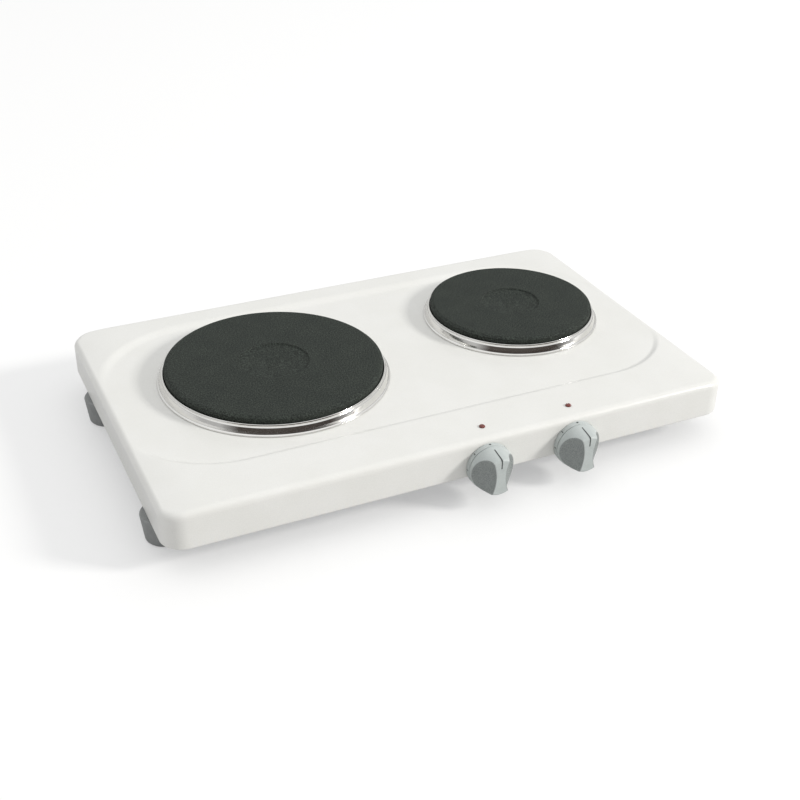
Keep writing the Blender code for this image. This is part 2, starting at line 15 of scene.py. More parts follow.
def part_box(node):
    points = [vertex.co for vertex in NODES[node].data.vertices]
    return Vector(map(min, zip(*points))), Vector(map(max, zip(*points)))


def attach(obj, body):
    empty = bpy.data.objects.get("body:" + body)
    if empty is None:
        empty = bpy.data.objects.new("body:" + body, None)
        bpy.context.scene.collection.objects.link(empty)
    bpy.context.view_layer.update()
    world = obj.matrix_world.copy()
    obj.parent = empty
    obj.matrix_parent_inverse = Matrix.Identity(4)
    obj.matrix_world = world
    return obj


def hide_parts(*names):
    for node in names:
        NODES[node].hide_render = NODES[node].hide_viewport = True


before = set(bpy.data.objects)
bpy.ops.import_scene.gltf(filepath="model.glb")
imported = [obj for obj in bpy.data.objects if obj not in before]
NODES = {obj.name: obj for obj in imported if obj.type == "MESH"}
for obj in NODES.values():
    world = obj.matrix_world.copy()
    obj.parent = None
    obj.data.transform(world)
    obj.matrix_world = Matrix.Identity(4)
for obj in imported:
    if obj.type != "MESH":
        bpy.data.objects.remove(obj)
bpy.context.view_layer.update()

# ---- sizes read from the frame ----------------------------------------------------------------
PAN_LOW, PAN_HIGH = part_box("top_housing")
PAN_MID = (PAN_LOW + PAN_HIGH) / 2
HALF_W = (PAN_HIGH.x - PAN_LOW.x) / 2
HALF_D = (PAN_HIGH.y - PAN_LOW.y) / 2
SIDES = ("left", "right")
CORNERS = ("front_left", "front_right", "rear_left", "rear_right")

# ---- sizes that the design fixes --------------------------------------------------------------
CORNER_R = 0.018          # plan radius of the pan's corners
TOP_FILLET = 0.0055       # radius of its upper edge
RIM_FILLET = 0.0012       # radius of its lower edge
SHEET = 0.001             # thickness of its sheet
HEM = 0.007               # width of the flange turned in below
RECESS = 0.002            # depth of the pressed recess
RECESS_Y = 0.011          # middle of the recess, behind the pan's middle
RECESS_HALF = 0.1104      # half of the recess from front to back
RECESS_SIDE = 0.240       # half of its width: it runs out over the pan's short sides
RECESS_ARC = {"front": 0.078, "rear": 0.094}          # radii of its corner arcs
RECESS_SLOPE = {"front": 0.0058, "rear": 0.0110}      # widths of the sloping band round it
SHOULDER = 0.208          # where the border starts to fall towards the short sides
FALL = 0.9                # how far it falls there, as a share of the recess's depth
LINES_END = 0.0022        # how far inside the upper edge's round the lines in the top stop
# lines along the recess's sloping band, at these shares of its width from its middle
BAND_LEVELS = (-0.68, -0.56, -0.46, -0.36, -0.26, -0.16, -0.06, 0.06, 0.16, 0.26, 0.36, 0.46, 0.56, 0.68)
FOLLOW_START = 0.004      # above the lower edge, where the walls begin to follow the top's height
FOLLOW_END = 0.006        # below the border, where they follow it in full
WELL = {"left": 0.0295, "right": 0.026}       # radius of a plate's dished centre
ZONE_CLEARANCE = 0.001    # pan's hole round a plate
SHAFT_HOLE = 0.0045
SWITCH_SCREW_X = 0.011
SWITCH_SCREW_HOLE = 0.0018
LAMP_HOLE = 0.0023
CORD_HOLE = 0.0063
CORD_BORE = 0.0038

DIAL_H = 0.0044           # front wall to the face of the dial ring
DIAL_BORE_R = 0.0152
KNOB_BACK = 0.0048        # front wall to the knob's back edge
KNOB_FRONT_TAPER = 0.0026     # how much narrower a knob is at its front
KNOB_VOXEL = 0.00034      # grid that rounds a knob's edges
SCOOP_W = 0.0180          # half sizes of a finger scoop: across, up and down, and inwards
SCOOP_H = 0.0270
SCOOP_DEPTH = 0.0140
GRIP_W = 0.0090           # grip bar between the scoops, at its narrowest
POINTER_W = 0.0010        # width of the pointer line
POINTER_PROUD = 0.00005   # how far it stands proud of the knob
DIAL_STEP = 45            # degrees between the marks on a dial ring

FACING_FRONT = (math.pi / 2, 0, 0)            # turns local +Z towards the user
FACING_REAR = (-math.pi / 2, 0, 0)
UPRIGHT = (0, 0, 0)
ROUND = 192               # facets of a plate, rim, knob or dial ring
MEDIUM_ROUND = 96         # of a foot or bushing
SMALL_ROUND = 48          # of a lens or bore
ZONE_HOLE_ROUND = 160     # of the pan's hole round a plate
LAMP_HOLE_ROUND = 32      # of its hole for a lamp
GUARD = 0.0003            # short flat next to a rounded corner, which keeps the flat's shading flat
CORNER_STEPS = 5          # chords in a rounded corner of an outline
SHARP_ANGLE = math.radians(32)                # edges sharper than this aren't shaded smooth

# ---- camera, light and floor --------------------------------------------------------------------
CAMERA_PLACE = (-0.38440, -0.81746, 0.56080)
CAMERA_AZIMUTH = math.radians(-25.52)
CAMERA_ELEVATION = math.radians(31.18)
CAMERA_ROLL = math.radians(1.03)
CAMERA_LENS = 54.95
KEY_AZIMUTH = math.radians(-35)
KEY_ELEVATION = math.radians(28)
KEY_AWAY = 6.0            # from the appliance to the key light
KEY_SIZE = 1.0
KEY_POWER = 214
KEY_COLOR = (1.0, 0.985, 0.955)
FLOOR_SIZE = 14
FLOOR_TONE = (0.62, 0.62, 0.62)
FLOOR_GLOW_SEEN = 0.36    # the floor's glow as the camera sees it
FLOOR_GLOW_CAST = 0.11    # and as it lights the appliance
ROOM_DIRECTION = (-0.17, -0.98, 0)            # towards the dark part of the surround
BACKDROP = (1.12, 1.12, 1.12, 1)              # the surround as the camera sees it


def camera():
    """The camera, above the front left corner and a little rolled."""
    flat = math.cos(CAMERA_ELEVATION)
    back = Vector((math.sin(CAMERA_AZIMUTH) * flat, -math.cos(CAMERA_AZIMUTH) * flat,
                   math.sin(CAMERA_ELEVATION)))
    level = Vector((0, 0, 1)).cross(back).normalized()
    upward = back.cross(level)
    across = math.cos(CAMERA_ROLL) * level + math.sin(CAMERA_ROLL) * upward
    up = math.cos(CAMERA_ROLL) * upward - math.sin(CAMERA_ROLL) * level
    turn = Matrix((across, up, back)).transposed().to_4x4()
    made = bpy.data.objects.new("camera", bpy.data.cameras.new("camera"))
    made.matrix_world = Matrix.Translation(CAMERA_PLACE) @ turn
    made.data.sensor_width = 36
    made.data.lens = CAMERA_LENS
    bpy.context.scene.collection.objects.link(made)
    bpy.context.scene.camera = made


def key_light():
    """A square softbox at the front right, aimed at the appliance."""
    light = bpy.data.lights.new("key_light", "AREA")
    light.size = KEY_SIZE
    light.energy = KEY_POWER
    light.color = KEY_COLOR
    made = bpy.data.objects.new("key_light", light)
    flat = math.cos(KEY_ELEVATION)
    place = Vector((math.cos(KEY_AZIMUTH) * flat, math.sin(KEY_AZIMUTH) * flat,
                    math.sin(KEY_ELEVATION))) * KEY_AWAY
    made.location = place
    made.rotation_euler = (place - Vector((0, 0, 0.04))).to_track_quat("Z", "Y").to_euler()
    bpy.context.scene.collection.objects.link(made)


def color_ramp(tree, factor, stops):
    """Colours that follow factor through (position, colour) stops."""
    made = tree.nodes.new("ShaderNodeValToRGB")
    elements = made.color_ramp.elements
    while len(elements) < len(stops):
        elements.new(0.5)
    for element, (position, value) in zip(elements, stops):
        element.position = position
        element.color = (*value, 1)
    tree.links.new(factor, made.inputs["Fac"])
    return made.outputs["Color"]


def surround():
    """White studio walls, with a dark brown room left open low down at the front."""
    world = bpy.data.worlds.new("studio")
    world.use_nodes = True
    tree = world.node_tree
    spot = tree.nodes.new("ShaderNodeTexCoord").outputs["Generated"]
    split = tree.nodes.new("ShaderNodeSeparateXYZ")
    tree.links.new(spot, split.inputs[0])
    height = split.outputs["Z"]
    walls = color_ramp(tree, height, ((0.0, (0.50, 0.50, 0.50)), (0.30, (0.70, 0.70, 0.70)),
                                      (0.60, (0.88, 0.89, 0.89)), (1.0, (1.12, 1.12, 1.12))))
    room = color_ramp(tree, height, ((0.02, (0.05, 0.042, 0.038)), (0.34, (0.13, 0.115, 0.105)),
                                     (0.62, (0.84, 0.85, 0.85)), (1.0, (1.12, 1.12, 1.12))))
    facing = tree.nodes.new("ShaderNodeVectorMath")
    facing.operation = "DOT_PRODUCT"
    facing.inputs[1].default_value = ROOM_DIRECTION
    tree.links.new(spot, facing.inputs[0])
    front = color_ramp(tree, facing.outputs["Value"], ((0.46, (0, 0, 0)), (0.72, (1, 1, 1))))
    around = tree.nodes.new("ShaderNodeMix")
    around.data_type = "RGBA"
    tree.links.new(front, around.inputs[0])
    tree.links.new(walls, around.inputs[6])
    tree.links.new(room, around.inputs[7])
    path = tree.nodes.new("ShaderNodeLightPath")
    seen = tree.nodes.new("ShaderNodeMix")
    seen.data_type = "RGBA"
    tree.links.new(path.outputs["Is Camera Ray"], seen.inputs[0])
    tree.links.new(around.outputs[2], seen.inputs[6])
    seen.inputs[7].default_value = BACKDROP
    background = tree.nodes["Background"]
    tree.links.new(seen.outputs[2], background.inputs["Color"])
    background.inputs["Strength"].default_value = 0.90
    bpy.context.scene.world = world


def floor():
    """A plain pale floor. Its own glow lifts it to white for the camera."""
    shape = bmesh.new()
    bmesh.ops.create_grid(shape, x_segments=1, y_segments=1, size=FLOOR_SIZE / 2)
    mesh = bpy.data.meshes.new("floor")
    shape.to_mesh(mesh)
    shape.free()
    made = bpy.data.objects.new("floor", mesh)
    bpy.context.scene.collection.objects.link(made)
    finish = bpy.data.materials.new("floor")
    finish.use_nodes = True
    tree = finish.node_tree
    shader = tree.nodes["Principled BSDF"]
    shader.inputs["Base Color"].default_value = (*FLOOR_TONE, 1)
    shader.inputs["Roughness"].default_value = 0.8
    shader.inputs["Emission Color"].default_value = (1, 1, 1, 1)
    path = tree.nodes.new("ShaderNodeLightPath")
    glow = tree.nodes.new("ShaderNodeMapRange")
    tree.links.new(path.outputs["Is Camera Ray"], glow.inputs["Value"])
    glow.inputs["To Min"].default_value = FLOOR_GLOW_CAST
    glow.inputs["To Max"].default_value = FLOOR_GLOW_SEEN
    tree.links.new(glow.outputs["Result"], shader.inputs["Emission Strength"])
    mesh.materials.append(finish)


def studio():
    """A pale floor, a surround that is white above, and a softbox at the front right."""
    bpy.context.scene.view_settings.view_transform = "Standard"
    surround()
    floor()
    key_light()


# ---- materials ----------------------------------------------------------------------------------
class Finish:
    """A Principled material, with short ways to add procedural detail to it."""

    def __init__(self, name, roughness, metallic=0.0, **sockets):
        self.made = bpy.data.materials.new(name)
        self.made.use_nodes = True
        self.tree = self.made.node_tree
        self.shader = self.tree.nodes["Principled BSDF"]
        self.shader.inputs["Roughness"].default_value = roughness
        self.shader.inputs["Metallic"].default_value = metallic
        for socket, value in sockets.items():
            self.shader.inputs[socket.replace("_", " ")].default_value = value
        self.place = self.tree.nodes.new("ShaderNodeTexCoord").outputs["Object"]

    def node(self, kind, **values):
        made = self.tree.nodes.new(kind)
        for key, value in values.items():
            setattr(made, key, value)
        return made

    def link(self, source, target):
        self.tree.links.new(source, target)

    def vector(self, operation, source, *value):
        """The vector source, changed by an operation that may take a value for each axis."""
        made = self.node("ShaderNodeVectorMath", operation=operation)
        self.link(source, made.inputs[0])
        if value:
            made.inputs[1].default_value = value
        return made

    def radius(self):
        """Distance from the piece's own Z axis."""
        flat = self.vector("MULTIPLY", self.place, 1, 1, 0)
        return self.vector("LENGTH", flat.outputs[0]).outputs["Value"]

    def noise(self, scale, detail=3.0, rough=0.5):
        made = self.node("ShaderNodeTexNoise")
        self.link(self.place, made.inputs["Vector"])
        made.inputs["Scale"].default_value = scale
        made.inputs["Detail"].default_value = detail
        made.inputs["Roughness"].default_value = rough
        return made.outputs[0]

    def rings(self, scale, detail=2.0):
        """Uneven concentric lines, as a lathe tool leaves them."""
        made = self.node("ShaderNodeTexNoise", noise_dimensions="1D")
        self.link(self.radius(), made.inputs["W"])
        made.inputs["Scale"].default_value = scale
        made.inputs["Detail"].default_value = detail
        return made.outputs[0]

    def cells(self, scale, output="Distance"):
        made = self.node("ShaderNodeTexVoronoi")
        self.link(self.place, made.inputs["Vector"])
        made.inputs["Scale"].default_value = scale
        return made.outputs[output]

    def ramp(self, factor, *stops):
        """A colour or grey that follows factor through (position, value) stops."""
        colors = [(position, value if isinstance(value, tuple) else (value, value, value))
                  for position, value in stops]
        return color_ramp(self.tree, factor, colors)

    def mixed(self, factor, first, second, mode="MIX"):
        made = self.node("ShaderNodeMix", data_type="RGBA", blend_type=mode)
        if isinstance(factor, float):
            made.inputs[0].default_value = factor
        else:
            self.link(factor, made.inputs[0])
        self.link(first, made.inputs[6])
        self.link(second, made.inputs[7])
        return made.outputs[2]

    def color(self, source):
        self.link(source, self.shader.inputs["Base Color"])

    def roughness(self, source):
        self.link(source, self.shader.inputs["Roughness"])

    def bump(self, height, distance, strength=1.0):
        """Add a bump on top of those already there."""
        made = self.node("ShaderNodeBump")
        made.inputs["Strength"].default_value = strength
        made.inputs["Distance"].default_value = distance
        self.link(height, made.inputs["Height"])
        earlier = self.shader.inputs["Normal"].links
        if earlier:
            self.link(earlier[0].from_socket, made.inputs["Normal"])
        self.link(made.outputs["Normal"], self.shader.inputs["Normal"])


def white_enamel():
    """Vitreous enamel: a glassy coat with a faint orange peel and a very fine grain."""
    skin = Finish("white_enamel", 0.38, Coat_Weight=0.25, Coat_Roughness=0.22, Coat_IOR=1.5)
    tone = skin.ramp(skin.noise(30, 3), (0.35, (0.825, 0.822, 0.790)), (0.65, (0.845, 0.842, 0.815)))
    grain = skin.ramp(skin.noise(2300, 2, 0.6), (0.36, 0.945), (0.62, 1.0))
    skin.color(skin.mixed(1.0, tone, grain, "MULTIPLY"))
    skin.roughness(skin.ramp(skin.noise(220, 3), (0.3, 0.28), (0.7, 0.40)))
    skin.bump(skin.noise(140, 2), 0.00008, 0.30)
    skin.bump(skin.noise(1500, 2, 0.6), 0.00002, 0.5)
    return skin.made


def cast_iron():
    """Coated cast iron: matt charcoal with a fine sandy grain."""
    skin = Finish("cast_iron", 0.70, 0.0, Specular_IOR_Level=0.22)
    tone = skin.ramp(skin.noise(45, 4, 0.6), (0.30, (0.023, 0.028, 0.024)), (0.70, (0.030, 0.036, 0.030)))
    specks = skin.ramp(skin.noise(1000, 3, 0.7), (0.38, 0.36), (0.50, 0.92), (0.62, 2.2))
    skin.color(skin.mixed(1.0, tone, specks, "MULTIPLY"))
    skin.roughness(skin.ramp(skin.noise(600, 3), (0.3, 0.60), (0.7, 0.80)))
    skin.bump(skin.noise(1050, 2, 0.6), 0.00003, 0.5)
    return skin.made


def polished_stainless():
    """Spun and polished sheet, with faint turning lines and a few wipe marks."""
    skin = Finish("polished_stainless", 0.12, 1.0)
    lines = skin.rings(5200, 3)
    wipes = skin.noise(60, 4, 0.6)
    tone = skin.ramp(wipes, (0.3, (0.80, 0.79, 0.76)), (0.7, (0.88, 0.87, 0.85)))
    skin.color(tone)
    skin.roughness(skin.mixed(0.5, skin.ramp(lines, (0.3, 0.06), (0.7, 0.15)),
                              skin.ramp(wipes, (0.35, 0.06), (0.7, 0.13))))
    skin.bump(lines, 0.00001, 0.35)
    return skin.made


def plated_steel():
    skin = Finish("plated_steel", 0.30, 1.0)
    cloud = skin.noise(260, 4, 0.6)
    skin.color(skin.ramp(cloud, (0.3, (0.52, 0.53, 0.54)), (0.7, (0.66, 0.66, 0.65))))
    skin.roughness(skin.ramp(skin.noise(1400, 3), (0.3, 0.22), (0.7, 0.42)))
    skin.bump(skin.noise(1800, 3, 0.6), 0.00002, 0.5)
    return skin.made


def zinc_sheet():
    """Galvanised sheet with crystal spangles."""
    skin = Finish("zinc_sheet", 0.42, 0.9)
    spangle = skin.cells(95, output="Color")
    grey = skin.node("ShaderNodeRGBToBW")
    skin.link(spangle, grey.inputs[0])
    frost = skin.noise(900, 4, 0.6)
    tone = skin.ramp(grey.outputs[0], (0.15, (0.44, 0.46, 0.47)), (0.85, (0.62, 0.64, 0.65)))
    skin.color(skin.mixed(0.25, tone, skin.ramp(frost, (0.3, 0.4), (0.7, 0.7))))
    skin.roughness(skin.ramp(grey.outputs[0], (0.2, 0.34), (0.8, 0.52)))
    skin.bump(frost, 0.00003, 0.4)
    return skin.made


def moulded(name, dark, light, roughness, grain=1700, depth=0.00004, **sockets):
    """Moulded plastic or rubber with an eroded grain and a slightly uneven tone."""
    skin = Finish(name, roughness, **sockets)
    cloud = skin.ramp(skin.noise(85, 4, 0.6), (0.3, dark), (0.7, light))
    specks = skin.ramp(skin.noise(grain, 3, 0.65), (0.36, 0.90), (0.60, 1.0))
    skin.color(skin.mixed(1.0, cloud, specks, "MULTIPLY"))
    skin.roughness(skin.ramp(skin.noise(420, 3), (0.3, roughness - 0.07), (0.7, roughness + 0.09)))
    skin.bump(skin.noise(grain, 3, 0.6), depth, 0.6)
    return skin.made


def ceramic():
    """Unglazed steatite: chalky, with pores."""
    skin = Finish("ceramic", 0.62, 0.0)
    tone = skin.ramp(skin.noise(150, 4, 0.6), (0.3, (0.74, 0.70, 0.61)), (0.7, (0.83, 0.80, 0.73)))
    pores = skin.ramp(skin.cells(900), (0.06, 0.62), (0.16, 1.0))
    skin.color(skin.mixed(1.0, tone, pores, "MULTIPLY"))
    skin.roughness(skin.ramp(skin.noise(700, 3), (0.3, 0.52), (0.7, 0.74)))
    skin.bump(skin.noise(1500, 4, 0.7), 0.00006, 0.6)
    return skin.made


def heater_sheath():
    """Annealed sheath of the heating coil, with blue and straw heat tints."""
    skin = Finish("heater_sheath", 0.50, 0.85)
    skin.color(skin.ramp(skin.noise(70, 4, 0.6), (0.30, (0.13, 0.13, 0.15)), (0.50, (0.22, 0.19, 0.16)),
                         (0.70, (0.30, 0.24, 0.15))))
    skin.roughness(skin.ramp(skin.noise(900, 3), (0.3, 0.40), (0.7, 0.62)))
    skin.bump(skin.noise(1500, 3, 0.6), 0.00004, 0.5)
    return skin.made


def red_lens():
    """Clear red lens with moulded rings."""
    skin = Finish("red_lens", 0.16, 0.0, Transmission_Weight=0.25, IOR=1.49, Coat_Weight=0.6,
                  Coat_Roughness=0.06)
    skin.color(skin.ramp(skin.noise(900, 3), (0.3, (0.19, 0.030, 0.020)), (0.7, (0.27, 0.050, 0.032))))
    skin.roughness(skin.ramp(skin.noise(1400, 3), (0.3, 0.12), (0.7, 0.24)))
    skin.bump(skin.rings(3500, 1), 0.00002, 0.5)
    return skin.made


def knob_plastic():
    """Grey moulded plastic, coarser in the eroded finger scoops, which are also darkened with painted shade.
    """
    low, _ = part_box("left_knob")
    reach = PAN_LOW.y - low.y
    skin = Finish("knob_plastic", 0.44, Specular_IOR_Level=0.45)
    cloud = skin.ramp(skin.noise(85, 4, 0.6), (0.3, (0.49, 0.53, 0.52)), (0.7, (0.55, 0.59, 0.58)))
    grain = skin.noise(1700, 3, 0.65)
    fine = skin.ramp(grain, (0.36, 0.90), (0.60, 1.0))
    # painted shade for the finger scoops: a darker, coarser grain (0.42 to 0.66) that multiplies the colour
    # there
    rough = skin.ramp(skin.noise(1300, 3, 0.7), (0.38, 0.42), (0.62, 0.66))
    # mask of the finger scoops, which says where the painted shade goes
    folded = skin.vector("ABSOLUTE", skin.place).outputs[0]
    moved = skin.vector("SUBTRACT", folded, SCOOP_W + GRIP_W / 2, 0, reach).outputs[0]
    form = skin.vector("DIVIDE", moved, SCOOP_W, SCOOP_H, SCOOP_DEPTH).outputs[0]
    away = skin.vector("LENGTH", form).outputs["Value"]
    outside = skin.node("ShaderNodeMapRange")
    skin.link(away, outside.inputs["Value"])
    outside.inputs["From Min"].default_value = 1.015
    outside.inputs["From Max"].default_value = 1.05
    # painted shade inside the scoops, the plain fine grain outside them
    tone = skin.mixed(outside.outputs["Result"], rough, fine)
    skin.color(skin.mixed(1.0, cloud, tone, "MULTIPLY"))
    skin.roughness(skin.ramp(skin.noise(420, 3), (0.3, 0.38), (0.7, 0.54)))
    skin.bump(grain, 0.00005, 0.6)
    return skin.made


ENAMEL = white_enamel()
IRON = cast_iron()
STAINLESS = polished_stainless()
STEEL = plated_steel()
ZINC = zinc_sheet()
# knob plastic, with painted shade in its finger scoops
KNOB_SKIN = knob_plastic()
KNOB_GREY = moulded("grey_plastic", (0.49, 0.53, 0.52), (0.55, 0.59, 0.58), 0.44, Specular_IOR_Level=0.45)
FOOT_GREY = moulded("grey_rubber", (0.27, 0.28, 0.28), (0.33, 0.34, 0.34), 0.66, 1100, 0.00006)
BAKELITE = moulded("dark_moulding", (0.030, 0.030, 0.032), (0.050, 0.048, 0.046), 0.46)
MARKING = moulded("dial_print", (0.045, 0.050, 0.050), (0.065, 0.070, 0.070), 0.55)
LIVE = moulded("brown_insulation", (0.15, 0.065, 0.03), (0.21, 0.095, 0.045), 0.50)
LOAD = moulded("white_insulation", (0.64, 0.62, 0.56), (0.74, 0.72, 0.66), 0.50)
EARTH = moulded("green_insulation", (0.08, 0.27, 0.06), (0.14, 0.36, 0.09), 0.50)
BLACK_RUBBER = moulded("black_rubber", (0.020, 0.020, 0.021), (0.034, 0.034, 0.035), 0.60, 1200, 0.00006)
CERAMIC = ceramic()
HEATER = heater_sheath()
RED_LENS = red_lens()


# ---- mesh helpers ---------------------------------------------------------------------------------
def new_piece(name, mesh, finish, location=(0, 0, 0), rotation=UPRIGHT):
    made = bpy.data.objects.new(name, mesh)
    made.location = location
    made.rotation_euler = rotation
    bpy.context.scene.collection.objects.link(made)
    mesh.materials.append(finish)
    return made


def mesh_from(build, name):
    shape = bmesh.new()
    build(shape)
    mesh = bpy.data.meshes.new(name)
    shape.to_mesh(mesh)
    shape.free()
    return mesh


def smooth(item):
    item.data.shade_smooth()
    item.data.set_sharp_from_angle(angle=SHARP_ANGLE)


def settle(item):
    """Replace an object's mesh with what its modifiers make of it."""
    bpy.context.view_layer.update()
    seen = item.evaluated_get(bpy.context.evaluated_depsgraph_get())
    finished = bpy.data.meshes.new_from_object(seen)
    item.modifiers.clear()
    item.data = finished


def cut(item, *cutters):
    """Cut shapes out of a piece and throw the cutters away."""
    for tool in cutters:
        step = item.modifiers.new("cut", "BOOLEAN")
        step.operation = "DIFFERENCE"
        step.object = tool
    settle(item)
    for tool in cutters:
        bpy.data.objects.remove(tool, do_unlink=True)


def rod(radius, start, end):
    """A plain cylinder between two points, as a cutter."""
    start = Vector(start)
    end = Vector(end)
    turn = (end - start).to_track_quat("Z", "Y").to_matrix().to_4x4()

    def build(shape):
        bmesh.ops.create_cone(shape, cap_ends=True, segments=SMALL_ROUND, radius1=radius, radius2=radius,
                              depth=(end - start).length,
                              matrix=Matrix.Translation((start + end) / 2) @ turn)

    made = bpy.data.objects.new("cutter", mesh_from(build, "cutter"))
    bpy.context.scene.collection.objects.link(made)
    return made


def rounded(outline, loop=False):
    """An outline of (radius, height, corner radius) points, as plain points with its corners round."""
    count = len(outline)
    spots = []
    for i in range(count):
        here = Vector(outline[i][:2])
        corner = outline[i][2] if len(outline[i]) > 2 else 0.0
        if not corner or (not loop and i in (0, count - 1)):
            spots.append(here)
            continue
        before = Vector(outline[i - 1][:2]) - here
        after = Vector(outline[(i + 1) % count][:2]) - here
        half = before.angle(after) / 2
        reach = min(corner / math.tan(half), 0.48 * before.length, 0.48 * after.length)
        start = here + before.normalized() * reach
        end = here + after.normalized() * reach
        for step in range(CORNER_STEPS + 1):
            t = step / CORNER_STEPS
            spots.append((1 - t) ** 2 * start + 2 * t * (1 - t) * here + t ** 2 * end)
    guarded = []
    ends = spots[1:] + (spots[:1] if loop else [])
    for start, end in zip(spots, ends):
        guarded.append(start)
        run = end - start
        if run.length > 4 * GUARD:
            guarded.append(start + run.normalized() * GUARD)
            guarded.append(end - run.normalized() * GUARD)
    if not loop:
        guarded.append(spots[-1])
    return guarded


def turned(name, outline, finish, location, rotation=UPRIGHT, facets=ROUND, loop=False):
    """Turn an outline about local Z."""
    def build(shape):
        circles = []
        for radius, height in rounded(outline, loop):
            if radius < 1e-7:
                circles.append([shape.verts.new((0, 0, height))])
                continue
            circles.append([shape.verts.new((radius * math.cos(2 * math.pi * i / facets),
                                             radius * math.sin(2 * math.pi * i / facets), height))
                            for i in range(facets)])
        for upper, lower in zip(circles, circles[1:] + (circles[:1] if loop else [])):
            for i in range(facets):
                j = (i + 1) % facets
                ring = [upper[i % len(upper)], lower[i % len(lower)], lower[j % len(lower)],
                        upper[j % len(upper)]]
                corners = list(dict.fromkeys(ring))
                if len(corners) > 2:
                    shape.faces.new(corners)
        bmesh.ops.recalc_face_normals(shape, faces=shape.faces)

    made = new_piece(name, mesh_from(build, name), finish, location, rotation)
    smooth(made)
    return made


def shown(piece, body, slot, *nodes):
    """The piece rides on a body and stands for these CAD nodes; slot is not used."""
    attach(piece, body)
    if nodes:
        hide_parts(*nodes)


# ---- housing --------------------------------------------------------------------------------------
def pan_stations():
    """Stations round the pan: a point on the inner rectangle and the outward direction there."""
    core_w = HALF_W - CORNER_R
    core_d = HALF_D - CORNER_R
    turns = 20
    stations = []
    for quarter in range(4):
        heading = quarter * math.pi / 2
        across = quarter % 2 == 0
        corner = Vector((core_w if quarter in (0, 3) else -core_w,
                         core_d if quarter in (0, 1) else -core_d))
        length = 2 * (core_w if across else core_d)
        spacing = 0.0060 if across else 0.0011
        for i in range(turns + 1):
            angle = heading + math.pi / 2 * i / turns
            stations.append((corner, Vector((math.cos(angle), math.sin(angle)))))
        outward = Vector((-math.sin(heading), math.cos(heading)))
        onward = Vector((-outward.y, outward.x))
        runs = round(length / spacing)
        for i in range(1, runs):
            stations.append((corner + onward * length * i / runs, outward))
    return stations


def recess_inside(x, y, end):
    """Distance inside the middle of the recess's sloping band, negative outside it."""
    arc = RECESS_ARC[end]
    beyond = max(0.0, abs(x - PAN_MID.x) - RECESS_SIDE + arc)
    off = max(0.0, abs(y - PAN_MID.y - RECESS_Y) - RECESS_HALF + arc)
    return arc - math.hypot(beyond, off)


def recess_depth(x, y):
    """How far the top lies below the border: the recess, and the border's fall to the short sides."""
    end = "front" if y < PAN_MID.y + RECESS_Y else "rear"
    across = min(abs(x - PAN_MID.x), HALF_W - TOP_FILLET)
    t = min(1.0, max(0.0, 0.5 + recess_inside(PAN_MID.x + across, y, end) / RECESS_SLOPE[end]))
    recess = t * t * (3 - 2 * t)
    fall = FALL * max(0.0, (across - SHOULDER) / (HALF_W - TOP_FILLET - SHOULDER)) ** 2
    return RECESS * (recess + (1 - recess) * fall)


def recess_lines(limit):
    """Lines along the recess's sloping band, at BAND_LEVELS, as far out as limit."""
    lines = []
    for level in BAND_LEVELS:
        for end, side in (("front", -1), ("rear", 1)):
            inside = level * RECESS_SLOPE[end]
            start = RECESS_SIDE - RECESS_ARC[end]
            radius = RECESS_ARC[end] - inside
            last = math.asin(min(0.99, (limit - start) / radius))
            arc = [Vector((start + radius * math.sin(last * i / 60),
                           RECESS_HALF - RECESS_ARC[end] + radius * math.cos(last * i / 60)))
                   for i in range(61)]
            half = [Vector((start * i / 20, RECESS_HALF - inside)) for i in range(20)] + arc
            whole = [Vector((-spot.x, spot.y)) for spot in reversed(half[1:])] + half
            lines.append([Vector((PAN_MID.x + spot.x, PAN_MID.y + RECESS_Y + side * spot.y))
                          for spot in whole])
    return lines


def shoulder_lines(limit):
    """Lines from front to rear over the border's fall, each side of the pan."""
    depth = HALF_D - TOP_FILLET - LINES_END
    lines = []
    for share in (0.0, 0.2, 0.4, 0.6, 0.8, 0.98):
        across = SHOULDER + (limit - SHOULDER) * share
        corner = max(0.0, across - (HALF_W - CORNER_R))
        reach = depth - (CORNER_R - math.sqrt(CORNER_R ** 2 - corner ** 2)) - 0.001
        for side in (-1, 1):
            lines.append([Vector((PAN_MID.x + side * across, PAN_MID.y - reach + 2 * reach * i / 60))
                          for i in range(61)])
    return lines


def round_holes():
    """Centre, radius and number of facets of each hole in the pan's top."""
    holes = []
    for side in SIDES:
        low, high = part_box(side + "_hotplate")
        holes.append(((low + high) / 2, (high.x - low.x) / 2 + ZONE_CLEARANCE, ZONE_HOLE_ROUND))
        low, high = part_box(side + "_lamp_lens")
        holes.append(((low + high) / 2, LAMP_HOLE, LAMP_HOLE_ROUND))
    return holes


def top_sheet(shape, border):
    """Fill the pan's top inside its border, with the recess pressed in and the holes left open."""
    inner = HALF_W - TOP_FILLET - LINES_END
    holes = round_holes()
    points = [Vector((vert.co.x, vert.co.y)) for vert in border]
    edges = [(i, (i + 1) % len(points)) for i in range(len(points))]
    for line in recess_lines(inner) + shoulder_lines(inner):
        first = len(points)
        points += line
        edges += [(first + i, first + i + 1) for i in range(len(line) - 1)]
    for centre, radius, count in holes:
        first = len(points)
        points += [Vector((centre.x + radius * math.cos(2 * math.pi * i / count),
                           centre.y + radius * math.sin(2 * math.pi * i / count))) for i in range(count)]
        edges += [(first + i, first + (i + 1) % count) for i in range(count)]
    spots, _, faces, origins, _, _ = delaunay_2d_cdt(points, edges, [], 0, 1e-7)
    verts = []
    for spot, sources in zip(spots, origins):
        known = [source for source in sources if source < len(border)]
        if known:
            verts.append(border[known[0]])
        else:
            verts.append(shape.verts.new((spot.x, spot.y, PAN_HIGH.z - recess_depth(spot.x, spot.y))))
    for face in faces:
        middle = sum((spots[i] for i in face), Vector((0, 0))) / len(face)
        if all((middle - centre.xy).length > radius for centre, radius, _ in holes):
            shape.faces.new([verts[i] for i in face])


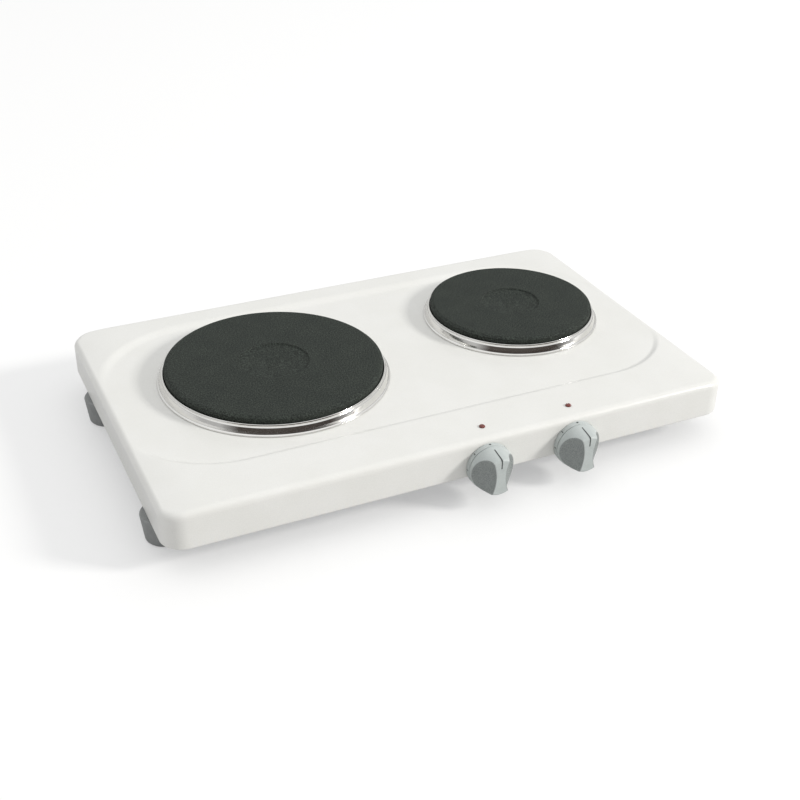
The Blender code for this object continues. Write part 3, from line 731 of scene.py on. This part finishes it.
def housing_rings():
    """Rings from the flange's inner edge up to the pan's top: inset and height at each."""
    rings = [(SHEET + HEM - 0.0006 * i, PAN_LOW.z) for i in (0, 1, 9)]
    for i in range(5):
        angle = math.pi / 2 * i / 4
        rings.append((RIM_FILLET * (1 - math.sin(angle)), PAN_LOW.z + RIM_FILLET * (1 - math.cos(angle))))
    base = PAN_LOW.z + RIM_FILLET
    wall = PAN_HIGH.z - TOP_FILLET - base
    rings += [(0.0, base + wall * share) for share in (0.02, 0.15, 0.30, 0.45, 0.60, 0.75, 0.90, 0.98)]
    for i in range(13):
        angle = math.pi / 2 * i / 12
        rings.append((TOP_FILLET * (1 - math.cos(angle)), PAN_HIGH.z - TOP_FILLET * (1 - math.sin(angle))))
    rings.append((TOP_FILLET + 0.0006, PAN_HIGH.z))
    return rings


def wall_holes():
    """Cutters for the holes in the front and rear walls."""
    reach = 0.004
    cutters = []
    for side in SIDES:
        low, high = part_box(side + "_knob")
        axis = (low + high) / 2
        for offset, radius in ((0, SHAFT_HOLE), (-SWITCH_SCREW_X, SWITCH_SCREW_HOLE),
                               (SWITCH_SCREW_X, SWITCH_SCREW_HOLE)):
            cutters.append(rod(radius, (axis.x + offset, PAN_LOW.y - reach, axis.z),
                               (axis.x + offset, PAN_LOW.y + reach, axis.z)))
    low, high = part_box("cord_bushing")
    middle = (low + high) / 2
    cutters.append(rod(CORD_HOLE, (middle.x, PAN_HIGH.y - reach, middle.z),
                       (middle.x, PAN_HIGH.y + reach, middle.z)))
    return cutters


def housing():
    """The enamelled pan: flange, walls and top in one sheet, with the recess pressed into it."""
    stations = pan_stations()
    follow = PAN_HIGH.z - PAN_LOW.z - FOLLOW_START - FOLLOW_END

    def build(shape):
        loops = []
        for inset, height in housing_rings():
            share = min(1.0, max(0.0, (height - PAN_LOW.z - FOLLOW_START) / follow))
            loop = []
            for core, outward in stations:
                spot = PAN_MID.xy + core + outward * (CORNER_R - inset)
                drop = recess_depth(spot.x, spot.y) * share * share * (3 - 2 * share)
                loop.append(shape.verts.new((spot.x, spot.y, height - drop)))
            loops.append(loop)
        for lower, upper in zip(loops, loops[1:]):
            for i in range(len(lower)):
                j = (i + 1) % len(lower)
                shape.faces.new((lower[i], lower[j], upper[j], upper[i]))
        top_sheet(shape, loops[-1])
        bmesh.ops.recalc_face_normals(shape, faces=shape.faces)

    pan = new_piece("housing", mesh_from(build, "housing"), ENAMEL)
    thick = pan.modifiers.new("sheet", "SOLIDIFY")
    thick.thickness = SHEET
    thick.offset = -1.0
    cut(pan, *wall_holes())
    smooth(pan)
    shown(pan, "chassis", "enamel", "top_housing")


# ---- cooking zones ----------------------------------------------------------------------------------
def zone_place(side):
    """Middle of a plate's cooking surface, and its radius."""
    low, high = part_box(side + "_hotplate")
    return Vector(((low.x + high.x) / 2, (low.y + high.y) / 2, high.z)), (high.x - low.x) / 2


def hotplate(side):
    """Cast-iron plate with a dished centre, a chamfered edge and a skirt."""
    place, radius = zone_place(side)
    well = WELL[side]
    outline = [(0.0, -0.0027), (well * 0.5, -0.0021, 0.0200), (well - 0.0010, -0.0012, 0.0006),
               (well, 0.0, 0.0004), (radius - 0.0030, 0.0, 0.0010), (radius, -0.0014, 0.0008),
               (radius, -0.0075, 0.0005),
               (radius - 0.0018, -0.0085, 0.0004), (radius - 0.0018, -0.0180, 0.0006),
               (radius - 0.0055, -0.0180, 0.0006), (radius - 0.0055, -0.0070, 0.0010),
               (0.0130, -0.0070, 0.0010), (0.0110, -0.0180, 0.0004), (0.0042, -0.0180, 0.0004),
               (0.0042, -0.0090), (0.0, -0.0090)]
    shown(turned(side + "_plate", outline, IRON, place), "chassis", "cast_iron", side + "_hotplate")


def spill_ring(side):
    """Polished overflow rim, rolled at its upper edge and flared where it meets the pan."""
    place, radius = zone_place(side)
    low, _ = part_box(side + "_spill_ring")
    seat = low.z - place.z
    outline = [(radius + 0.0004, -0.0062, 0.0003), (radius + 0.0008, -0.0052, 0.0005),
               (radius + 0.0017, -0.0051, 0.0006), (radius + 0.0022, -0.0062, 0.0005),
               (radius + 0.0021, -0.0068, 0.0004), (radius + 0.0029, -0.0074, 0.0010),
               (radius + 0.0040, -0.0104, 0.0024), (radius + 0.0047, seat + 0.0012, 0.0008),
               (radius + 0.0060, seat + 0.0009, 0.0004), (radius + 0.0062, seat, 0.0002),
               (radius + 0.0044, seat, 0.0002), (radius + 0.0030, -0.0104, 0.0008),
               (radius + 0.0021, -0.0082, 0.0008), (radius + 0.0012, -0.0074, 0.0005),
               (radius + 0.0013, -0.0064, 0.0004)]
    shown(turned(side + "_rim", outline, STAINLESS, place, loop=True), "chassis", "stainless",
          side + "_spill_ring")


# ---- controls ---------------------------------------------------------------------------------------
def control_place(side):
    """Where a knob's axis meets the front wall, and the radius and reach left for it by its pointer."""
    low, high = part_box(side + "_knob")
    place = Vector(((low.x + high.x) / 2, PAN_LOW.y, (low.z + high.z) / 2))
    return place, (high.x - low.x) / 2, PAN_LOW.y - low.y - POINTER_PROUD


def scoop(place, reach, sign):
    """Cutter for one finger scoop."""
    def build(shape):
        centre = Matrix.Translation((sign * (SCOOP_W + GRIP_W / 2), 0, reach))
        form = Matrix.Diagonal((SCOOP_W, SCOOP_H, SCOOP_DEPTH, 1))
        bmesh.ops.create_uvsphere(shape, u_segments=128, v_segments=64, radius=1.0, matrix=centre @ form)

    made = bpy.data.objects.new("scoop", mesh_from(build, "scoop"))
    made.location = place
    made.rotation_euler = FACING_FRONT
    bpy.context.scene.collection.objects.link(made)
    return made


def knob_outline(radius, reach):
    front = radius - KNOB_FRONT_TAPER
    return [(0.0, reach), (front - 0.0012, reach, 0.0012), (front + 0.0001, reach - 0.0013, 0.0012),
            (radius, KNOB_BACK + 0.0020, 0.0010), (radius - 0.0001, KNOB_BACK, 0.0005),
            (0.0034, KNOB_BACK, 0.0002), (0.0034, 0.0170), (0.0, 0.0170)]


def knob(side):
    """Moulded knob: a turned blank with two finger scoops and softened edges."""
    place, radius, reach = control_place(side)
    handle = turned(side + "_knob_body", knob_outline(radius, reach), KNOB_SKIN, place, FACING_FRONT)
    cut(handle, scoop(place, reach, -1), scoop(place, reach, 1))
    skin = handle.modifiers.new("skin", "REMESH")
    skin.mode = "VOXEL"
    skin.voxel_size = KNOB_VOXEL
    soften = handle.modifiers.new("soften", "SMOOTH")
    soften.factor = 0.5
    soften.iterations = 4
    settle(handle)
    handle.data.shade_smooth()
    shown(handle, side + "_control", "knob_grey", side + "_knob")
    pointer(side, place, radius, reach)


def pointer(side, place, radius, reach):
    """Dark line let into the grip: along its top, over the front edge and down its face."""
    sunk = 0.0004
    path = rounded([(radius - 0.0005, 0.0093), (radius - KNOB_FRONT_TAPER, reach, 0.0016), (0.0082, reach)])

    def build(shape):
        rows = []
        for i, spot in enumerate(path):
            along = (path[min(i + 1, len(path) - 1)] - path[max(i - 1, 0)]).normalized()
            outward = Vector((along.y, -along.x))
            over = spot + outward * POINTER_PROUD
            under = spot - outward * sunk
            half = POINTER_W / 2
            rows.append([shape.verts.new((x, y, z)) for x, y, z in
                         ((-half, over.x, over.y), (half, over.x, over.y), (half, under.x, under.y),
                          (-half, under.x, under.y))])
        for first, second in zip(rows, rows[1:]):
            for i in range(4):
                j = (i + 1) % 4
                shape.faces.new((first[i], first[j], second[j], second[i]))
        shape.faces.new(rows[0])
        shape.faces.new(list(reversed(rows[-1])))
        bmesh.ops.recalc_face_normals(shape, faces=shape.faces)

    line = new_piece(side + "_pointer", mesh_from(build, side + "_pointer"), MARKING, place, FACING_FRONT)
    smooth(line)
    shown(line, side + "_control", "dark_moulding")


def dial_ring(side):
    place, radius, _ = control_place(side)
    _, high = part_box(side + "_dial_ring")
    gap = PAN_LOW.y - high.y
    outline = [(DIAL_BORE_R, DIAL_H, 0.0004), (radius, DIAL_H, 0.0008), (radius, gap, 0.0003),
               (DIAL_BORE_R, gap, 0.0003)]
    ring = turned(side + "_dial", outline, KNOB_GREY, place, FACING_FRONT, loop=True)
    shown(ring, "chassis", "knob_grey", side + "_dial_ring")


def dial_marks(side):
    """Marks on the dial ring's rim: a dot at the top for off and a short line for each heat."""
    place, radius, _ = control_place(side)
    middle = DIAL_H / 2 + 0.0001
    depth = 0.0003
    proud = 0.00006

    def build(shape):
        for number in range(360 // DIAL_STEP):
            angle = math.pi / 2 - math.radians(DIAL_STEP * number)
            if math.isclose(math.sin(angle), -1.0):
                continue
            outward = Vector((math.cos(angle), math.sin(angle), 0))
            spot = outward * (radius - depth / 2 + proud) + Vector((0, 0, middle))
            move = Matrix.Translation(spot) @ outward.to_track_quat("Z", "Y").to_matrix().to_4x4()
            if number == 0:
                bmesh.ops.create_cone(shape, cap_ends=True, segments=32, radius1=0.0009, radius2=0.0009,
                                      depth=depth, matrix=move)
            else:
                bmesh.ops.create_cube(shape, size=1.0, matrix=move @ Matrix.Diagonal(
                    (0.0007, 0.0024, depth, 1)))

    marks = new_piece(side + "_dial_marks", mesh_from(build, side + "_dial_marks"), MARKING, place,
                      FACING_FRONT)
    smooth(marks)
    shown(marks, "chassis", "dark_moulding")


def lamp_lens(side):
    low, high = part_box(side + "_lamp_lens")
    place = Vector(((low.x + high.x) / 2, (low.y + high.y) / 2, PAN_HIGH.z))
    outline = [(0.0, 0.0017), (0.0010, 0.0016, 0.0010), (0.0020, 0.0012, 0.0010), (0.0026, 0.0003, 0.0002),
               (0.0020, 0.0003), (0.0020, -0.0040), (0.0, -0.0040)]
    shown(turned(side + "_lamp", outline, RED_LENS, place, facets=SMALL_ROUND), "chassis", "red_lens",
          side + "_lamp_lens")


# ---- feet, rear and underside -------------------------------------------------------------------------
def foot(corner):
    """Conical foot with a counterbore for its screw."""
    low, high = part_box(corner + "_foot")
    place = Vector(((low.x + high.x) / 2, (low.y + high.y) / 2, 0))
    top = high.z
    radius = (high.x - low.x) / 2
    outline = [(0.0023, top), (radius - 0.0008, top, 0.0004), (radius, top - 0.0010, 0.0006),
               (radius - 0.0024, 0.0016, 0.0016), (radius - 0.0040, 0.0, 0.0008), (0.0048, 0.0, 0.0005),
               (0.0048, 0.0105, 0.0004), (0.0023, 0.0105)]
    shown(turned(corner + "_foot_body", outline, FOOT_GREY, place, facets=MEDIUM_ROUND, loop=True), "chassis",
          "foot_grey", corner + "_foot")


def bushing():
    """Rubber bushing in the rear wall, with a grooved neck."""
    low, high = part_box("cord_bushing")
    place = Vector(((low.x + high.x) / 2, PAN_HIGH.y, (low.z + high.z) / 2))
    reach = high.y - PAN_HIGH.y
    outline = [(CORD_BORE, reach, 0.0004), (0.0052, reach, 0.0006), (0.0055, reach - 0.0012, 0.0002),
               (0.0050, reach - 0.0016, 0.0002), (0.0051, reach - 0.0022, 0.0002),
               (0.0058, reach - 0.0026, 0.0002), (0.0060, reach - 0.0038, 0.0002),
               (0.0055, reach - 0.0042, 0.0002), (0.0062, 0.0030, 0.0006), (0.0085, 0.0026, 0.0008),
               (0.0085, 0.0003, 0.0002), (0.0060, 0.0003), (0.0060, -0.0013), (0.0080, -0.0013, 0.0003),
               (0.0076, -0.0038, 0.0004), (CORD_BORE, -0.0038, 0.0004)]
    shown(turned("cord_grommet", outline, BLACK_RUBBER, place, FACING_REAR, MEDIUM_ROUND, True), "chassis",
          "black_rubber", "cord_bushing")


def inner_finishes():
    """Better materials for the CAD pieces that stay as they are."""
    by_ending = {
        "base_plate": ZINC, "foot_screw": STEEL, "heating_coil": HEATER, "underside_cover": ZINC,
        "terminal_block": CERAMIC, "plate_stud": STEEL, "mounting_bar": STEEL, "stud_nut": STEEL,
        "switch_shaft": STEEL, "switch_body": BAKELITE, "switch_screw_left": STEEL,
        "switch_screw_right": STEEL, "lamp_body": BAKELITE, "feed_wire": LIVE, "plate_wire": LOAD,
        "lamp_wire": LOAD, "earth_screw": STEEL, "earth_wire": EARTH,
    }
    for name, item in NODES.items():
        for ending, finish in by_ending.items():
            if name.endswith(ending):
                for holder in item.material_slots:
                    holder.material = finish


# ---- the whole ----------------------------------------------------------------------------------------
camera()
studio()
housing()
for side in SIDES:
    hotplate(side)
    spill_ring(side)
    knob(side)
    dial_ring(side)
    dial_marks(side)
    lamp_lens(side)
for corner in CORNERS:
    foot(corner)
bushing()
inner_finishes()
